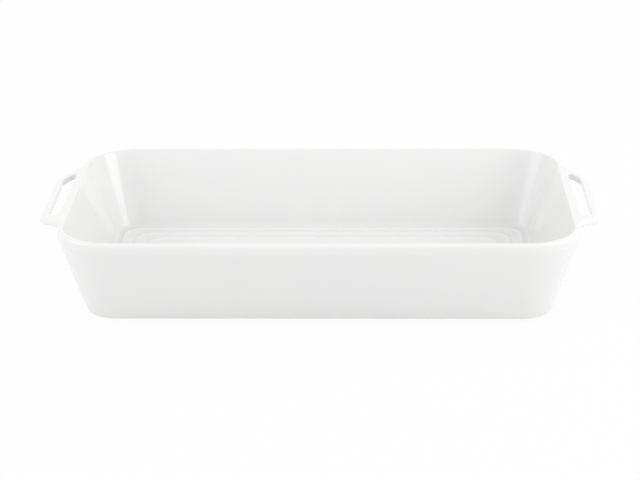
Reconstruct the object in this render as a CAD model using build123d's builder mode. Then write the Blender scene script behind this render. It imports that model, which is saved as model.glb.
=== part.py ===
from build123d import *
import os
from math import radians, tan

# A rectangular lasagna dish in white glazed stoneware, in millimetres.
# X runs along the dish, Y across it and Z up. The origin is the middle of the surface that it stands on.

# The rim, measured at its widest line
rim_length = 356.0
rim_width = 216.0
rim_corner_radius = 40.0
dish_height = 62.0
rim_thickness = 4.0
rim_outer_radius = 2.4  # also the upper edge of the lugs
rim_inner_radius = 0.9

# Under the rim the wall stands upright for a short band, the lip, before it slopes in
lip_height = 6.5
lip_blend_radius = 8.0

# The inside slopes a little more than the outside, so the wall thickens downwards
outer_draft = 18.7  # degrees
inner_draft = 20.0  # degrees
floor_thickness = 5.5
base_edge_radius = 3.0
floor_corner_radius = 4.0
tightest_corner = 8.0  # the least radius that an outline inside the rim turns with

# Low ribs run round the cooking floor, one inside the other, and fade towards the middle
rib_height = 1.0
rib_height_shares = (1.0, 0.8, 0.65)
rib_width = 5.2
rib_pitch = 10.0
rib_inset = 5.8  # from the foot of the inner wall to the crest of the outermost rib
rib_root = 0.5  # how far a rib's section reaches down into the floor

# The bare clay ring that the dish stands on
foot_height = 1.5
foot_width = 7.0
foot_inset = 6.0  # from the corner line of the base
foot_edge_chamfer = 0.5

# The lug handles slope down from the rim at the short ends, each with a grip slot right through it
lug_reach = 17.0
lug_droop = 13.5  # degrees
lug_shoulder = 5.0  # from the end of the rim's rounded corner to the root of the lug
lug_flank = 21.5  # how far along the end of the dish each slanted side of a lug runs
lug_corner_radius = 15.0
lug_lower_chamfer = 1.4
lip_below_lug = 1.5  # how much of the lip shows under the lug
grip_bar_width = 6.2
slot_ledge = 2.0  # the strip of the lug that stays between the wall and the slot
slot_corner_radius = 2.4
slot_edge_chamfer = 0.7

half_length = rim_length / 2
lip_bottom = dish_height - lip_height
lug_bottom = lip_bottom + lip_below_lug
lug_thickness = dish_height - lug_bottom
lug_root_length = rim_width - 2 * (rim_corner_radius + lug_shoulder)
lug_outer_length = lug_root_length - 2 * lug_flank
lug_seat = (rim_outer_radius + rim_thickness - rim_inner_radius) / 2  # as far into the rim as its flat top
band_start_x = half_length - lug_seat
band_end_x = half_length + 2 * lug_reach
band_drop = 2 * lug_reach * tan(radians(lug_droop))
floor_top = foot_height + floor_thickness
wall_foot_inset = (lip_bottom - foot_height) * tan(radians(outer_draft))
floor_edge_inset = rim_thickness + (dish_height - floor_top) * tan(radians(inner_draft))


def outline(inset, mode=Mode.ADD):
    """The rim's outline drawn in by the same distance all round, with its corners tightening to match."""
    corner_radius = max(rim_corner_radius - inset, tightest_corner)
    return RectangleRounded(rim_length - 2 * inset, rim_width - 2 * inset, corner_radius, mode=mode)


# The plan of one lug, at the right-hand end: a trapezium whose slanted sides run on inside the dish
with BuildSketch(Plane.XY.offset(dish_height)) as lug_plan:
    with BuildLine():
        Polyline(
            (half_length - lug_reach, -lug_root_length / 2 - lug_flank),
            (half_length + lug_reach, -lug_outer_length / 2),
            (half_length + lug_reach, lug_outer_length / 2),
            (half_length - lug_reach, lug_root_length / 2 + lug_flank),
            close=True,
        )
    make_face()
    fillet(lug_plan.vertices().group_by(Axis.X)[-1], lug_corner_radius)

# The slot leaves the bar's width inside that outline, and stops at the ledge
with BuildSketch(Plane.XY.offset(dish_height)) as slot_plan:
    offset(lug_plan.sketch, amount=-grip_bar_width, kind=Kind.INTERSECTION)
    with Locations((half_length + slot_ledge, 0)):
        Rectangle(lug_reach, lug_root_length, align=(Align.MIN, Align.CENTER), mode=Mode.INTERSECT)
    fillet(slot_plan.vertices().group_by(Axis.X)[0], slot_corner_radius)

# One lug. Its side view is a band that leaves the rim level and slopes down, and the plan cuts it out
with BuildPart() as lug:
    with BuildSketch(Plane.XZ):
        with BuildLine():
            Polyline(
                (band_start_x, dish_height),
                (half_length, dish_height),
                (band_end_x, dish_height - band_drop),
                (band_end_x, lug_bottom - band_drop),
                (half_length, lug_bottom),
                (band_start_x, lug_bottom),
                close=True,
            )
        make_face()
    extrude(amount=lug_root_length, both=True)
    add(lug_plan.sketch)
    extrude(amount=-dish_height, mode=Mode.INTERSECT)
    add(slot_plan.sketch)
    extrude(amount=-dish_height, mode=Mode.SUBTRACT)

    # The slopes are the two largest faces, the underside's and the top's, and the slot is their inner loop
    def slopes():
        return lug.faces().sort_by(SortBy.AREA)[-2:].sort_by(Axis.Z)

    chamfer([edge for slope in slopes() for edge in slope.inner_wires()[0].edges()], slot_edge_chamfer)

    # The edges along the sides lie off the middle of the dish, and the tip's edge follows on from them
    def side_edges(order):
        strip = lug.faces().filter_by(Axis.Z).sort_by(Axis.Z)[order]
        around = strip.edges() + slopes()[order].outer_wire().edges()
        return around.filter_by(lambda edge: abs(edge.center().Y) > lug_seat)

    fillet(side_edges(-1), rim_outer_radius)
    chamfer(side_edges(0), lug_lower_chamfer)

# On the upright face of the lip a lug parts into its root, which belongs to the basin, and the handle
seat = Plane((half_length, 0, 0), z_dir=(1, 0, 0))

with BuildPart() as lug_root:
    add(lug.part)
    split(bisect_by=seat, keep=Keep.BOTTOM)

with BuildPart() as right_handle:
    add(lug.part)
    split(bisect_by=seat, keep=Keep.TOP)

with BuildPart() as left_handle:
    add(mirror(right_handle.part, about=Plane.YZ, mode=Mode.PRIVATE))

with BuildPart() as basin:
    # The upright lip, and under it the wall that slopes in to the base
    with BuildSketch(Plane.XY.offset(dish_height)):
        outline(0)
    extrude(amount=-lip_height)
    with BuildSketch(Plane.XY.offset(lip_bottom)):
        outline(0)
    extrude(amount=-(lip_bottom - foot_height), taper=outer_draft)
    base_edges, lip_break, _ = basin.edges().filter_by(Plane.XY).group_by(Axis.Z)
    fillet(base_edges, base_edge_radius)
    fillet(lip_break, lip_blend_radius)

    with BuildSketch(Plane.XY.offset(dish_height)):
        outline(rim_thickness)
    extrude(amount=-(dish_height - floor_top), taper=inner_draft, mode=Mode.SUBTRACT)

    # The level faces by height are the base, the cooking floor and the top of the rim
    def level_faces():
        return basin.faces().filter_by(Axis.Z).group_by(Axis.Z)

    fillet(level_faces()[1].edges(), floor_corner_radius)
    fillet(level_faces()[2].face().outer_wire().edges(), rim_outer_radius)
    fillet(level_faces()[2].face().inner_wires()[0].edges(), rim_inner_radius)

    # Each rib is a shallow arc carried round the floor
    for number, height_share in enumerate(rib_height_shares):
        with BuildSketch(Plane.XY.offset(floor_top), mode=Mode.PRIVATE) as rib_plan:
            outline(floor_edge_inset + rib_inset + number * rib_pitch)
        rib_line = rib_plan.sketch.face().outer_wire()
        along = rib_line % 0
        with BuildSketch(Plane(rib_line @ 0, x_dir=Vector(0, 0, 1).cross(along), z_dir=along)):
            with BuildLine():
                crown_height = rib_height * height_share
                crown = ThreePointArc((-rib_width / 2, 0), (0, crown_height), (rib_width / 2, 0))
                Polyline(crown @ 1, (rib_width / 2, -rib_root), (-rib_width / 2, -rib_root), crown @ 0)
            make_face()
        sweep(path=rib_line)

    # The roots of the lugs fill the rim's rounding, so that the top runs on into the lugs
    add(lug_root.part)
    add(mirror(lug_root.part, about=Plane.YZ, mode=Mode.PRIVATE))

with BuildPart() as foot_ring:
    with BuildSketch(Plane.XY.offset(foot_height)):
        outline(wall_foot_inset + foot_inset)
        outline(wall_foot_inset + foot_inset + foot_width, mode=Mode.SUBTRACT)
    extrude(amount=-foot_height)
    chamfer(foot_ring.edges().group_by(Axis.Z)[0], foot_edge_chamfer)

os.makedirs("parts", exist_ok=True)
basin.part.label = "basin"
export_step(basin.part, "parts/basin.step")
right_handle.part.label = "right_handle"
export_step(right_handle.part, "parts/right_handle.step")
left_handle.part.label = "left_handle"
export_step(left_handle.part, "parts/left_handle.step")
foot_ring.part.label = "foot_ring"
export_step(foot_ring.part, "parts/foot_ring.step")
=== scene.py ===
from math import cos, pi, radians, sin, tan

import bmesh
import bpy
from mathutils import Matrix, Vector


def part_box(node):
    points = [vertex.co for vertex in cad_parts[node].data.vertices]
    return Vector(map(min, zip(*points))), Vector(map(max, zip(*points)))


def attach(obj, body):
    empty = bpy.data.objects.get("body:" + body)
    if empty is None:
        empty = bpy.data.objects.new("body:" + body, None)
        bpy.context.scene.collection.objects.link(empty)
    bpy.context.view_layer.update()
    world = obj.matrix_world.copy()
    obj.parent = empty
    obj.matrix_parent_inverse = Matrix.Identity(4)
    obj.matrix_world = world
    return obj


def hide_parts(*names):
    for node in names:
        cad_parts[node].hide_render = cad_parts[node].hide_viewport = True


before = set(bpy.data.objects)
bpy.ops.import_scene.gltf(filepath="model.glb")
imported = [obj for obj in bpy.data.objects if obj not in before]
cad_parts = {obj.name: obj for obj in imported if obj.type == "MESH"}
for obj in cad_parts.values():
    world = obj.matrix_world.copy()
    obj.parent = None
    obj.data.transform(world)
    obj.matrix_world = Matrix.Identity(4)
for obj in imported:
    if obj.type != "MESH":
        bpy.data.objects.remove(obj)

mm = 0.001
tiny = 0.02 * mm  # places closer than this count as the same
seam = 0.004 * mm  # points closer than this become one
facing = 0.9  # the least share of a face's normal along the side that it looks to
square = 0.1  # the most of it for a face that stands square to that
sharpest = radians(50)  # edges that turn more than this stay sharp
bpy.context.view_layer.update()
scene = bpy.context.scene
print("frame loaded:", sorted(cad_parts))


# small helpers for edit mode

def startPiece(name):
    piece = bpy.context.object
    piece.name = name
    piece.data.name = name
    bpy.ops.object.transform_apply(location=True, rotation=True, scale=True)
    bpy.ops.object.mode_set(mode="EDIT")
    bpy.ops.mesh.select_all(action="DESELECT")
    return piece


def pickFaces(test):
    bpy.ops.mesh.select_mode(type="FACE")
    bpy.ops.mesh.select_all(action="DESELECT")
    mesh = bmesh.from_edit_mesh(bpy.context.object.data)
    mesh.normal_update()
    for face in mesh.faces:
        face.select_set(bool(test(face.calc_center_median(), face.normal)))
    bmesh.update_edit_mesh(bpy.context.object.data)


def pickEdges(test):
    bpy.ops.mesh.select_mode(type="EDGE")
    bpy.ops.mesh.select_all(action="DESELECT")
    mesh = bmesh.from_edit_mesh(bpy.context.object.data)
    mesh.normal_update()
    for edge in mesh.edges:
        edge.select_set(bool(test(edge)))
    bmesh.update_edit_mesh(bpy.context.object.data)


def pickVerts(test):
    bpy.ops.mesh.select_mode(type="VERT")
    bpy.ops.mesh.select_all(action="DESELECT")
    mesh = bmesh.from_edit_mesh(bpy.context.object.data)
    for vert in mesh.verts:
        vert.select_set(bool(test(vert.co)))
    mesh.select_flush_mode()
    bmesh.update_edit_mesh(bpy.context.object.data)


def near(a, b):
    return abs(a - b) < tiny


def ends(edge):
    return [vert.co for vert in edge.verts]


def isUpright(edge):
    a, b = ends(edge)
    return near(a.x, b.x) and near(a.y, b.y)


def cutAcross(axis, places):
    # straight cuts right through the piece, square to X, Y or Z
    for place in places:
        bpy.ops.mesh.select_all(action="SELECT")
        normal = Vector([float(letter == axis) for letter in "xyz"])
        bpy.ops.mesh.bisect(plane_co=normal * place, plane_no=normal)


def spread(reach, step):
    # evenly spaced places from -reach to reach, both ends left out
    count = round(2 * reach / step)
    return [reach * (2 * number / count - 1) for number in range(1, count)]


def oneFace(test):
    # joins the level faces that test picks into one
    pickFaces(test)
    bpy.ops.mesh.dissolve_faces()


def roundedPath(corners, arcSteps, longest):
    # corners are (inset, height, radius); straight stretches are split where they are long
    path = [Vector(corners[0][:2])]
    for before, here, after in zip(corners, corners[1:], corners[2:]):
        corner = Vector(here[:2])
        back = (Vector(before[:2]) - corner).normalized()
        ahead = (Vector(after[:2]) - corner).normalized()
        half = back.angle(ahead) / 2
        centre = corner + (back + ahead).normalized() * here[2] / sin(half)
        arm = corner + back * here[2] / tan(half) - centre
        turn = (pi - 2 * half) * (1 if back.cross(ahead) < 0 else -1)
        for step in range(arcSteps + 1):
            path.append(centre + Matrix.Rotation(turn * step / arcSteps, 2) @ arm)
    path.append(Vector(corners[-1][:2]))
    full = [path[0]]
    for point in path[1:]:
        start = full[-1]
        parts = max(1, round((point - start).length / longest))
        full += [start.lerp(point, part / parts) for part in range(1, parts + 1)]
    return full


def insetAlong(path, upwards):
    # the picked face steps inwards and up or down along the path, and leaves a ring at each step
    for start, point in zip(path, path[1:]):
        step = point - start
        bpy.ops.mesh.inset(thickness=step.x, depth=step.y * upwards)


def finishPiece(piece):
    bpy.ops.mesh.select_mode(type="VERT")
    bpy.ops.mesh.select_all(action="SELECT")
    bpy.ops.mesh.remove_doubles(threshold=seam)
    bpy.ops.mesh.select_all(action="SELECT")
    bpy.ops.mesh.normals_make_consistent(inside=False)
    bpy.ops.mesh.select_all(action="DESELECT")
    bpy.ops.object.mode_set(mode="OBJECT")
    bpy.ops.object.shade_smooth_by_angle(angle=sharpest)
    weigh = piece.modifiers.new("weigh", "WEIGHTED_NORMAL")
    weigh.keep_sharp = True
    bpy.ops.object.modifier_apply(modifier=weigh.name)
    piece.select_set(False)
    print(piece.name, "faces:", len(piece.data.polygons))


# the glazed dish: basin and both lugs, one fired piece

basinLow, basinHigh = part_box("basin")
lugLow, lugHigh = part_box("right_handle")
dish = {
    "halfLength": basinHigh.x,
    "halfWidth": basinHigh.y,
    "top": basinHigh.z,
    "base": basinLow.z,
    "cornerRadius": 40.0 * mm,
    "cornerSteps": 28,
    "sideStep": 9.0 * mm,
    "rimThickness": 4.0 * mm,
    "rimOuterRadius": 2.4 * mm,
    "rimInnerRadius": 0.9 * mm,
    "lipHeight": 6.5 * mm,
    "lipBlend": 8.0 * mm,
    "outerDraft": radians(18.7),
    "innerDraft": radians(20.0),
    "floorThickness": 5.5 * mm,
    "floorRadius": 4.0 * mm,
    "baseRadius": 3.0 * mm,
    "ringStep": 7.0 * mm,
    "arcSteps": 6,
    "floorRing": 0.9 * mm,  # how far before the end of the floor's fillet the rings of the ribs take over
    "baseRing": 4.0 * mm,  # the ring on the flat base, inside its rounded edge
    "ribs": {
        "firstInset": 5.8 * mm,  # from the foot of the inner wall to the first crest
        "pitch": 10.0 * mm,
        "halfWidth": 2.9 * mm,
        "heights": (1.0 * mm, 0.8 * mm, 0.65 * mm),
        "ringStep": 0.7 * mm,
    },
    "lug": {
        "reach": lugHigh.x - lugLow.x,
        "halfRoot": lugHigh.y,
        "thickness": 5.0 * mm,
        "halfTip": 41.5 * mm,
        "cornerRadius": 15.0 * mm,
        "cornerSteps": 12,
        "rootFillet": 5.0 * mm,
        "lowerRadius": 2.0 * mm,
        "lowerStart": 1.0 * mm,  # the rounding underneath leaves out the fillet at the root
        "barWidth": 6.2 * mm,
        "ledge": 2.0 * mm,
        "slotCorner": 2.4 * mm,
        "slotEdge": 0.9 * mm,
        "slotFlat": 0.4 * mm,
        "postSides": 64,
        "edgeSteps": 5,
        "levelShare": 0.999,  # how upright the normal of a level face is, at least
        "rimReach": 16.0 * mm,  # how far the top of a lug runs in over the rim's end
        "rimSlack": 0.3 * mm,
        "droop": radians(13.5),
        "bend": 6.0 * mm,  # how far the level part of a lug takes to turn down
        "rowStep": 1.0 * mm,
    },
}
ribs = dish["ribs"]
lug = dish["lug"]
# a slanted side of a lug in plan: its run outwards, and how much it comes in
lugNarrowing = Vector((lug["reach"], lug["halfRoot"] - lug["halfTip"]))
lugLean = lugNarrowing.angle(Vector((0, 1)))
lugSlope = lugNarrowing.y / lugNarrowing.x


def makeDishBlock():
    # the upright lip, a block with rounded corners
    blendStart = dish["top"] - dish["lipHeight"] + dish["lipBlend"] * tan(dish["outerDraft"] / 2)
    height = dish["top"] - blendStart
    bpy.ops.object.select_all(action="DESELECT")
    bpy.ops.mesh.primitive_cube_add(size=1, location=(0, 0, blendStart + height / 2))
    bpy.context.object.scale = (2 * dish["halfLength"], 2 * dish["halfWidth"], height)
    piece = startPiece("glazed_dish")
    pickEdges(isUpright)
    bpy.ops.mesh.bevel(offset=dish["cornerRadius"], segments=dish["cornerSteps"])
    cutAcross("x", spread(dish["halfLength"] - dish["cornerRadius"], dish["sideStep"]))
    cutAcross("y", spread(lug["halfTip"], dish["sideStep"]) + [-lug["halfRoot"], lug["halfRoot"]])
    cutAcross("z", [dish["top"] - lug["thickness"]])
    oneFace(lambda centre, normal: normal.z > facing)
    oneFace(lambda centre, normal: normal.z < -facing)
    return piece, blendStart


def carveHollow():
    floorTop = dish["base"] + dish["floorThickness"]
    footInset = dish["rimThickness"] + (dish["top"] - floorTop) * tan(dish["innerDraft"])
    flatInset = footInset + dish["floorRadius"]
    pickFaces(lambda centre, normal: normal.z > facing)
    insetAlong(roundedPath([
        (0, dish["top"]),
        (dish["rimThickness"], dish["top"], dish["rimInnerRadius"]),
        (footInset, floorTop, dish["floorRadius"]),
        (flatInset - dish["floorRing"], floorTop),
    ], dish["arcSteps"], dish["ringStep"]), 1)
    carveRibs(footInset, flatInset - dish["floorRing"], floorTop)


def carveRibs(footInset, inset, floorTop):
    # on the floor the rings keep their corners and scale towards the middle
    lastInset = footInset + ribs["firstInset"] + ribs["pitch"] * len(ribs["heights"])
    rings = round((lastInset - inset) / ribs["ringStep"])
    step = (lastInset - inset) / rings
    height = floorTop
    for number in range(rings):
        size = [(half - inset - step) / (half - inset) for half in (dish["halfLength"], dish["halfWidth"])]
        inset += step
        lifted = floorTop
        for rib, crest in enumerate(ribs["heights"]):
            away = abs(inset - footInset - ribs["firstInset"] - rib * ribs["pitch"]) / ribs["halfWidth"]
            if away < 1:
                lifted += crest * (0.5 + 0.5 * cos(pi * away))
        bpy.ops.mesh.extrude_region_move(TRANSFORM_OT_translate={"value": (0, 0, lifted - height)})
        bpy.ops.transform.resize(value=(size[0], size[1], 1), center_override=(0, 0, 0))
        height = lifted


def shapeUnderside(blendStart):
    wallBottom = dish["top"] - dish["lipHeight"]
    footInset = (wallBottom - dish["base"]) * tan(dish["outerDraft"])
    pickFaces(lambda centre, normal: normal.z < -facing)
    insetAlong(roundedPath([
        (0, blendStart),
        (0, wallBottom, dish["lipBlend"]),
        (footInset, dish["base"], dish["baseRadius"]),
        (footInset + dish["baseRing"], dish["base"]),
    ], dish["arcSteps"], dish["ringStep"])[1:], -1)


def addLugs():
    lugBottom = dish["top"] - lug["thickness"]
    for side in (1, -1):
        pickFaces(lambda centre, normal: normal.x * side > facing and abs(centre.y) < lug["halfRoot"]
                  and centre.z > lugBottom and centre.x * side > dish["halfLength"] - tiny)
        bpy.ops.mesh.extrude_region_move(TRANSFORM_OT_translate={"value": (side * lug["reach"], 0, 0)})
        bpy.ops.transform.resize(value=(1, lug["halfTip"] / lug["halfRoot"], 1), center_override=(0, 0, 0))
    tip = dish["halfLength"] + lug["reach"]
    pickEdges(lambda edge: isUpright(edge) and near(abs(edge.verts[0].co.x), tip)
              and near(abs(edge.verts[0].co.y), lug["halfTip"]))
    bpy.ops.mesh.bevel(offset=lug["cornerRadius"] * tan(lugLean / 2), segments=lug["cornerSteps"])
    pickEdges(lambda edge: isUpright(edge) and near(abs(edge.verts[0].co.x), dish["halfLength"])
              and near(abs(edge.verts[0].co.y), lug["halfRoot"])
              and near(max(place.z for place in ends(edge)), dish["top"]))
    bpy.ops.mesh.bevel(offset=lug["rootFillet"] * tan(lugLean / 2), segments=dish["arcSteps"])


def isLugTop(centre, normal, side):
    # a lug's top runs on into the end of the rim
    return (normal.z > lug["levelShare"] and near(centre.z, dish["top"])
            and centre.x * side > dish["halfLength"] - lug["rimReach"])


def isLugUnderside(centre, normal, side):
    return (normal.z < -lug["levelShare"] and near(centre.z, dish["top"] - lug["thickness"])
            and centre.x * side > dish["halfLength"])


def roundOuterEdges():
    # one face takes in each lug's top and the rim beside it, so that nothing stands in the rounding's way
    for side in (1, -1):
        oneFace(lambda centre, normal: isLugTop(centre, normal, side))
        oneFace(lambda centre, normal: isLugUnderside(centre, normal, side))
    pickEdges(lambda edge: all(near(place.z, dish["top"]) for place in ends(edge))
              and any(abs(face.normal.z) < square for face in edge.link_faces))
    bpy.ops.mesh.bevel(offset=dish["rimOuterRadius"], segments=dish["arcSteps"])
    pickEdges(lambda edge: all(near(place.z, dish["top"] - lug["thickness"]) for place in ends(edge))
              and min(abs(place.x) for place in ends(edge)) > dish["halfLength"] + lug["lowerStart"]
              and any(face.normal.z < -facing for face in edge.link_faces)
              and any(abs(face.normal.z) < square for face in edge.link_faces))
    bpy.ops.mesh.bevel(offset=lug["lowerRadius"], segments=lug["edgeSteps"])


def makeSlotWall(side):
    # the skin round four posts gives the slot's outline, and rings step in to half the lug's depth
    innerX = dish["halfLength"] + lug["ledge"]
    outerX = dish["halfLength"] + lug["reach"] - lug["barWidth"]
    innerY = lug["halfRoot"] - lug["ledge"] * lugSlope - lug["barWidth"] / sin(lugLean)
    outerY = innerY - (outerX - innerX) * lugSlope
    outerRadius = lug["cornerRadius"] - lug["barWidth"]
    middle = dish["top"] - lug["thickness"] / 2
    mouth = lug["slotEdge"] + lug["slotFlat"]
    bpy.ops.object.select_all(action="DESELECT")
    wall = None
    for radius, x, y in (
        (lug["slotCorner"], innerX + lug["slotCorner"], innerY - lug["slotCorner"] / tan(lugLean / 2)),
        (outerRadius, outerX - outerRadius, outerY - outerRadius * tan(lugLean / 2)),
    ):
        for end in (1, -1):
            bpy.ops.mesh.primitive_cylinder_add(
                vertices=lug["postSides"],
                radius=radius + mouth,
                depth=lug["thickness"],
                location=(x * side, y * end, middle),
            )
            wall = wall or startPiece("slot_wall")
    pickVerts(lambda place: place.x * side < innerX - mouth - tiny)
    bpy.ops.mesh.delete(type="VERT")
    bpy.ops.mesh.select_all(action="SELECT")
    bpy.ops.mesh.convex_hull()
    pickFaces(lambda centre, normal: abs(normal.z) < square)
    bpy.ops.mesh.delete(type="FACE")
    for up in (1, -1):
        level = middle + up * lug["thickness"] / 2
        oneFace(lambda centre, normal: normal.z * up > facing)
        corners = [(0, level * up), (mouth, level * up, lug["slotEdge"]), (mouth, middle * up)]
        insetAlong(roundedPath(corners, lug["edgeSteps"], lug["rowStep"]), 1)
        bpy.ops.mesh.delete(type="FACE")
    bpy.ops.mesh.select_all(action="SELECT")
    bpy.ops.mesh.remove_doubles(threshold=seam)
    bpy.ops.object.mode_set(mode="OBJECT")


def cutSlots(piece):
    # the flat top and underside of each lug are filled again, with the slot's wall let in
    for side in (1, -1):
        pickFaces(lambda centre, normal: isLugTop(centre, normal, side)
                  or isLugUnderside(centre, normal, side))
        bpy.ops.mesh.delete(type="ONLY_FACE")
        bpy.ops.object.mode_set(mode="OBJECT")
        makeSlotWall(side)
        piece.select_set(True)
        bpy.context.view_layer.objects.active = piece
        bpy.ops.object.join()
        bpy.ops.object.mode_set(mode="EDIT")
        bpy.ops.mesh.select_all(action="SELECT")
        bpy.ops.mesh.remove_doubles(threshold=tiny)
        for level in (dish["top"], dish["top"] - lug["thickness"]):
            pickEdges(lambda edge: edge.is_boundary
                      and all(abs(place.z - level) < lug["rimSlack"] for place in ends(edge)))
            bpy.ops.mesh.fill(use_beauty=True)


def sinkAt(run):
    # how far a lug's top lies below the rim: a short bend, then a straight slope
    slope = tan(lug["droop"]) * lug["reach"] / (lug["reach"] - lug["bend"] / 2)
    if run < lug["bend"]:
        return slope * max(run, 0) ** 2 / (2 * lug["bend"])
    return slope * (run - lug["bend"] / 2)


def lowerLugs(piece):
    # rows of cuts for the slope to follow, then the weights of a group say how far each point sinks
    lugBottom = dish["top"] - lug["thickness"]
    rows = round(lug["reach"] / lug["rowStep"])
    for side in (1, -1):
        for row in range(1, rows):
            pickFaces(lambda centre, normal: centre.x * side > dish["halfLength"] - lug["reach"]
                      and centre.z > lugBottom - tiny
                      and abs(centre.y) < lug["halfRoot"] + lug["rootFillet"])
            place = side * (dish["halfLength"] + row * lug["rowStep"])
            bpy.ops.mesh.bisect(plane_co=(place, 0, 0), plane_no=(1, 0, 0))
    bpy.ops.object.mode_set(mode="OBJECT")
    group = piece.vertex_groups.new(name="lug_slope")
    for vert in piece.data.vertices:
        run = abs(vert.co.x) - dish["halfLength"]
        if run > 0:
            group.add([vert.index], sinkAt(run) / sinkAt(lug["reach"]), "REPLACE")
    sink = piece.modifiers.new("sink", "DISPLACE")
    sink.direction = "Z"
    sink.mid_level = 0
    sink.strength = -sinkAt(lug["reach"])
    sink.vertex_group = group.name
    bpy.ops.object.modifier_apply(modifier=sink.name)
    piece.vertex_groups.clear()
    bpy.ops.object.mode_set(mode="EDIT")


glazedDish, blendStart = makeDishBlock()
carveHollow()
shapeUnderside(blendStart)
addLugs()
roundOuterEdges()
cutSlots(glazedDish)
lowerLugs(glazedDish)
finishPiece(glazedDish)


# the bare clay ring under the dish

footLow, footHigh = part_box("foot_ring")
foot = {
    "cornerRadius": 14.6 * mm,
    "cornerSteps": 16,
    "width": 7.0 * mm,
    "edge": 0.5 * mm,
    "edgeSteps": 3,
}


def makeFootRing():
    bpy.ops.object.select_all(action="DESELECT")
    bpy.ops.mesh.primitive_cube_add(size=1, location=(footLow + footHigh) / 2)
    bpy.context.object.scale = footHigh - footLow
    piece = startPiece("bare_foot_ring")
    pickEdges(isUpright)
    bpy.ops.mesh.bevel(offset=foot["cornerRadius"], segments=foot["cornerSteps"])
    pickFaces(lambda centre, normal: abs(normal.z) > facing)
    bpy.ops.mesh.inset(thickness=foot["width"], use_individual=True)
    bpy.ops.mesh.delete(type="FACE")
    pickEdges(lambda edge: edge.is_boundary)
    bpy.ops.mesh.bridge_edge_loops()
    pickEdges(lambda edge: all(near(place.z, footLow.z) for place in ends(edge))
              and any(abs(face.normal.z) < square for face in edge.link_faces))
    bpy.ops.mesh.bevel(offset=foot["edge"], segments=foot["edgeSteps"])
    return piece


bareFoot = makeFootRing()
finishPiece(bareFoot)


# materials

def newMaterial(name):
    material = bpy.data.materials.new(name)
    material.use_nodes = True
    return material, material.node_tree.nodes, material.node_tree.links


def newGroup(name, inputs, outputs):
    group = bpy.data.node_groups.new(name, "ShaderNodeTree")
    for socket, kind in inputs:
        group.interface.new_socket(socket, in_out="INPUT", socket_type=kind)
    for socket, kind in outputs:
        group.interface.new_socket(socket, in_out="OUTPUT", socket_type=kind)
    return group.nodes.new("NodeGroupInput"), group.nodes.new("NodeGroupOutput"), group.nodes, group.links


def noiseOf(nodes, links, place, scale, detail):
    noise = nodes.new("ShaderNodeTexNoise")
    noise.inputs["Detail"].default_value = detail
    links.new(place, noise.inputs["Vector"])
    links.new(scale, noise.inputs["Scale"])
    return noise.outputs["Fac"]


def ranged(nodes, links, value, low, high, newLow=0.0, newHigh=1.0):
    # low and high may be numbers or sockets
    ramp = nodes.new("ShaderNodeMapRange")
    links.new(value, ramp.inputs["Value"])
    for socket, given in (("From Min", low), ("From Max", high), ("To Min", newLow), ("To Max", newHigh)):
        if isinstance(given, (int, float)):
            ramp.inputs[socket].default_value = given
        else:
            links.new(given, ramp.inputs[socket])
    return ramp.outputs["Result"]


def combine(nodes, links, operation, first, second):
    node = nodes.new("ShaderNodeMath")
    node.operation = operation
    for socket, given in zip(node.inputs, (first, second)):
        if isinstance(given, (int, float)):
            socket.default_value = given
        else:
            links.new(given, socket)
    return node.outputs[0]


def makeRelief():
    # broad waves and a fine grain, as one height in metres, and the waves alone as a mask
    start, end, nodes, links = newGroup("surface_relief", (
        ("Place", "NodeSocketVector"),
        ("Wave Scale", "NodeSocketFloat"),
        ("Wave Height", "NodeSocketFloat"),
        ("Grain Scale", "NodeSocketFloat"),
        ("Grain Height", "NodeSocketFloat"),
    ), (("Height", "NodeSocketFloat"), ("Waves", "NodeSocketFloat")))
    waves = noiseOf(nodes, links, start.outputs["Place"], start.outputs["Wave Scale"], 0)
    grain = noiseOf(nodes, links, start.outputs["Place"], start.outputs["Grain Scale"], 2)
    swell = combine(nodes, links, "MULTIPLY", waves, start.outputs["Wave Height"])
    grit = combine(nodes, links, "MULTIPLY", grain, start.outputs["Grain Height"])
    links.new(combine(nodes, links, "ADD", swell, grit), end.inputs["Height"])
    usual = (0.15, 0.85)  # nearly all of the noise lies between these
    links.new(ranged(nodes, links, waves, *usual), end.inputs["Waves"])
    return end.id_data


def makeSpecks():
    # small round specks in some cells only
    start, end, nodes, links = newGroup("specks", (
        ("Place", "NodeSocketVector"),
        ("Scale", "NodeSocketFloat"),
        ("Size", "NodeSocketFloat"),
        ("Share", "NodeSocketFloat"),
    ), (("Mask", "NodeSocketFloat"),))
    cells = nodes.new("ShaderNodeTexVoronoi")
    links.new(start.outputs["Place"], cells.inputs["Vector"])
    links.new(start.outputs["Scale"], cells.inputs["Scale"])
    split = nodes.new("ShaderNodeSeparateColor")
    links.new(cells.outputs["Color"], split.inputs[0])
    chosen = combine(nodes, links, "LESS_THAN", split.outputs["Red"], start.outputs["Share"])
    smallest = 0.5  # the least radius as a share of the largest
    solid = 0.6  # the share of a radius that is fully coloured
    unlike = ranged(nodes, links, split.outputs["Green"], 0, 1, smallest, 1)
    radius = combine(nodes, links, "MULTIPLY", start.outputs["Size"], unlike)
    heart = combine(nodes, links, "MULTIPLY", radius, solid)
    dot = ranged(nodes, links, cells.outputs["Distance"], radius, heart)
    links.new(combine(nodes, links, "MULTIPLY", dot, chosen), end.inputs["Mask"])
    return end.id_data


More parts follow.
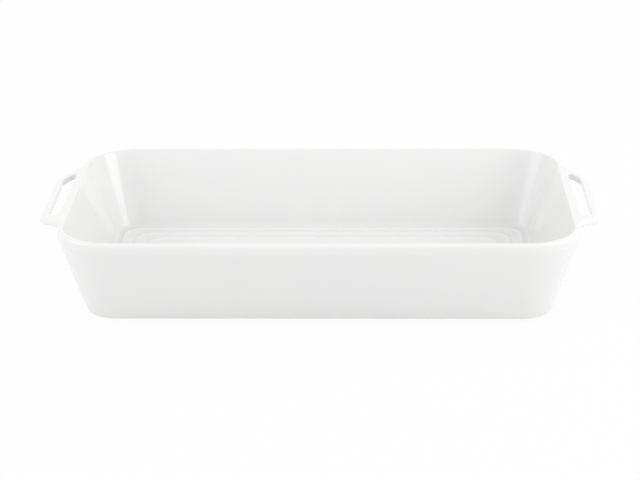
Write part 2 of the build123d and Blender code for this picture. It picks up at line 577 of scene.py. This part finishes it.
def makeShadeAndHighlight():
    # darker where liquid glaze gathers in hollows, which is painted shade, and lighter where it draws thin
    # over edges, which is a painted highlight
    start, end, nodes, links = newGroup("hollow_shade_and_edge_highlight", (
        ("Hollow", "NodeSocketFloat"), ("Edge", "NodeSocketFloat"),
    ), (("Hollow Shade", "NodeSocketFloat"), ("Thin Edge Highlight", "NodeSocketFloat")))
    bend = nodes.new("ShaderNodeNewGeometry").outputs["Pointiness"]
    even = 0.5  # what it says of flat ground
    hollow = combine(nodes, links, "SUBTRACT", even, start.outputs["Hollow"])
    edge = combine(nodes, links, "ADD", start.outputs["Edge"], even)
    links.new(ranged(nodes, links, bend, even, hollow), end.inputs["Hollow Shade"])
    links.new(ranged(nodes, links, bend, even, edge), end.inputs["Thin Edge Highlight"])
    return end.id_data


reliefGroup = makeRelief()
specksGroup = makeSpecks()
shadeHighlightGroup = makeShadeAndHighlight()


def placeGroup(nodes, links, group, values, place=None):
    node = nodes.new("ShaderNodeGroup")
    node.node_tree = group
    for socket, value in values.items():
        node.inputs[socket].default_value = value
    if place:
        links.new(place, node.inputs["Place"])
    return node.outputs


def tinted(nodes, links, share, under, over):
    mix = nodes.new("ShaderNodeMix")
    mix.data_type = "RGBA"
    links.new(share, mix.inputs["Factor"])
    first, second = [socket for socket in mix.inputs if socket.type == "RGBA"]
    for socket, given in ((first, under), (second, over)):
        if isinstance(given, tuple):
            socket.default_value = (*given, 1)
        else:
            links.new(given, socket)
    return [socket for socket in mix.outputs if socket.type == "RGBA"][0]


def bumped(nodes, links, height):
    bump = nodes.new("ShaderNodeBump")
    bump.inputs["Strength"].default_value = 1
    bump.inputs["Distance"].default_value = 1
    links.new(height, bump.inputs["Height"])
    return bump.outputs["Normal"]


glaze = {
    "colour": (0.905, 0.908, 0.897),
    "cooler": (0.893, 0.899, 0.892),
    # painted shade: a darker, cooler colour in hollows and creases
    "hollowShade": (0.84, 0.858, 0.85),
    # painted highlight: a lighter colour over convex edges and the rim, where the glaze also draws thin
    "edgeHighlight": (0.96, 0.957, 0.945),
    "roughness": (0.29, 0.36),
    "coat": (1.0, 0.8),  # on even ground and where the glaze is thin
    "coatRoughness": 0.06,
    "relief": {
        "Wave Scale": 24.0,
        "Wave Height": 0.05 * mm,
        "Grain Scale": 600.0,
        "Grain Height": 0.0015 * mm,
    },
    "pinholes": {"Scale": 240.0, "Size": 0.06, "Share": 0.02},
    "pinholeDepth": 0.015 * mm,
    # how strongly hollows take the painted shade and edges the painted highlight
    "shadeAndHighlight": {"Hollow": 0.05, "Edge": 0.06},
}


def glazeMaterial():
    material, nodes, links = newMaterial("white_glaze")
    shader = nodes["Principled BSDF"]
    place = nodes.new("ShaderNodeTexCoord").outputs["Object"]
    relief = placeGroup(nodes, links, reliefGroup, glaze["relief"], place)
    pinholes = placeGroup(nodes, links, specksGroup, glaze["pinholes"], place)["Mask"]
    shadeAndHighlight = placeGroup(nodes, links, shadeHighlightGroup, glaze["shadeAndHighlight"])
    colour = tinted(nodes, links, relief["Waves"], glaze["colour"], glaze["cooler"])
    # painted highlight: convex edges turn lighter
    colour = tinted(nodes, links, shadeAndHighlight["Thin Edge Highlight"], colour, glaze["edgeHighlight"])
    # painted shade: hollows and creases turn darker
    colour = tinted(nodes, links, shadeAndHighlight["Hollow Shade"], colour, glaze["hollowShade"])
    links.new(colour, shader.inputs["Base Color"])
    links.new(ranged(nodes, links, relief["Waves"], 0, 1, *glaze["roughness"]), shader.inputs["Roughness"])
    links.new(ranged(nodes, links, shadeAndHighlight["Thin Edge Highlight"], 0, 1, *glaze["coat"]), shader.inputs["Coat Weight"])
    shader.inputs["Coat Roughness"].default_value = glaze["coatRoughness"]
    dents = combine(nodes, links, "MULTIPLY", pinholes, -glaze["pinholeDepth"])
    height = combine(nodes, links, "ADD", relief["Height"], dents)
    links.new(bumped(nodes, links, height), shader.inputs["Normal"])
    return material


clay = {
    "pale": (0.74, 0.68, 0.59),
    "dark": (0.64, 0.57, 0.47),
    "speck": (0.34, 0.27, 0.2),
    "roughness": (0.78, 0.95),
    "relief": {
        "Wave Scale": 120.0,
        "Wave Height": 0.08 * mm,
        "Grain Scale": 1600.0,
        "Grain Height": 0.07 * mm,
    },
    "specks": {"Scale": 420.0, "Size": 0.22, "Share": 0.12},
}


def clayMaterial():
    material, nodes, links = newMaterial("bare_clay")
    shader = nodes["Principled BSDF"]
    place = nodes.new("ShaderNodeTexCoord").outputs["Object"]
    relief = placeGroup(nodes, links, reliefGroup, clay["relief"], place)
    specks = placeGroup(nodes, links, specksGroup, clay["specks"], place)["Mask"]
    colour = tinted(nodes, links, relief["Waves"], clay["pale"], clay["dark"])
    links.new(tinted(nodes, links, specks, colour, clay["speck"]), shader.inputs["Base Color"])
    links.new(ranged(nodes, links, relief["Waves"], 0, 1, *clay["roughness"]), shader.inputs["Roughness"])
    links.new(bumped(nodes, links, relief["Height"]), shader.inputs["Normal"])
    return material


glazedDish.data.materials.append(glazeMaterial())
bareFoot.data.materials.append(clayMaterial())
for piece, slot, stoodFor in (
    (glazedDish, "white_glaze", ("basin", "left_handle", "right_handle")),
    (bareFoot, "bare_clay", ("foot_ring",)),
):
    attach(piece, "root")
    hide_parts(*stoodFor)
print("materials done")


# floor, light and camera

studio = {
    "floorSize": 8.0,
    "floorColour": (0.87, 0.87, 0.87, 1),
    "seenWhite": 0.95,
    "skyStrength": 0.89,
    "lampSize": 0.9,
    # name, place and watts; both look at the middle of the dish's base
    "lamps": (("key", (1.3, -0.3, 0.7), 4.2), ("fill", (-1.4, -0.3, 0.7), 2.6)),
}


def seenShare(nodes, links, share):
    # a share for what the camera, a reflection or a clear surface looks at, and none for light that bounces
    path = nodes.new("ShaderNodeLightPath").outputs
    direct = combine(nodes, links, "MAXIMUM", path["Is Camera Ray"], path["Is Glossy Ray"])
    seen = combine(nodes, links, "MAXIMUM", direct, path["Is Transmission Ray"])
    return combine(nodes, links, "MULTIPLY", seen, share)


def mixed(nodes, links, share, first, second):
    mix = nodes.new("ShaderNodeMixShader")
    for socket, given in zip(mix.inputs, (share, first, second)):
        links.new(given, socket)
    return mix.outputs[0]


def makeFloor():
    bpy.ops.mesh.primitive_plane_add(size=studio["floorSize"], location=(0, 0, 0))
    floor = bpy.context.object
    floor.name = "floor"
    material, nodes, links = newMaterial("floor_white")
    nodes.clear()
    matt = nodes.new("ShaderNodeBsdfDiffuse")
    matt.inputs["Color"].default_value = studio["floorColour"]
    white = nodes.new("ShaderNodeEmission")
    seen = seenShare(nodes, links, studio["seenWhite"])
    above = mixed(nodes, links, seen, matt.outputs[0], white.outputs[0])
    # from below the floor is clear, so that the underside can be looked at
    clear = nodes.new("ShaderNodeBsdfTransparent")
    turned = nodes.new("ShaderNodeNewGeometry").outputs["Backfacing"]
    surface = mixed(nodes, links, turned, above, clear.outputs[0])
    links.new(surface, nodes.new("ShaderNodeOutputMaterial").inputs["Surface"])
    floor.data.materials.append(material)


def lightScene():
    world = bpy.data.worlds.new("studio")
    scene.world = world
    world.use_nodes = True
    nodes, links = world.node_tree.nodes, world.node_tree.links
    sky = nodes["Background"]
    sky.inputs["Strength"].default_value = studio["skyStrength"]
    backdrop = nodes.new("ShaderNodeBackground")
    for node in (sky, backdrop):
        node.inputs["Color"].default_value = (1, 1, 1, 1)
    seen = seenShare(nodes, links, 1.0)
    surface = mixed(nodes, links, seen, sky.outputs[0], backdrop.outputs[0])
    links.new(surface, nodes["World Output"].inputs["Surface"])
    for name, place, power in studio["lamps"]:
        light = bpy.data.lights.new(name, "AREA")
        light.size = studio["lampSize"]
        light.energy = power
        lamp = bpy.data.objects.new(name, light)
        scene.collection.objects.link(lamp)
        lamp.location = place
        lamp.rotation_euler = (-Vector(place)).to_track_quat("-Z", "Y").to_euler()


cameraFit = {
    "place": (31.77 * mm, -1369.629 * mm, 524.875 * mm),
    "heading": radians(1.351),
    "downward": radians(19.994),
    "roll": radians(-0.467),
    "focalPixels": 2032.13,
    "frameWidth": 640,
}


def makeCamera():
    data = bpy.data.cameras.new("camera")
    data.lens = cameraFit["focalPixels"] * data.sensor_width / cameraFit["frameWidth"]
    camera = bpy.data.objects.new("camera", data)
    scene.collection.objects.link(camera)
    camera.matrix_world = (
        Matrix.Translation(cameraFit["place"])
        @ Matrix.Rotation(cameraFit["heading"], 4, "Z")
        @ Matrix.Rotation(pi / 2 - cameraFit["downward"], 4, "X")
        @ Matrix.Rotation(cameraFit["roll"], 4, "Z")
    )
    scene.camera = camera


makeFloor()
lightScene()
makeCamera()
scene.view_settings.view_transform = "Standard"
print("studio done")
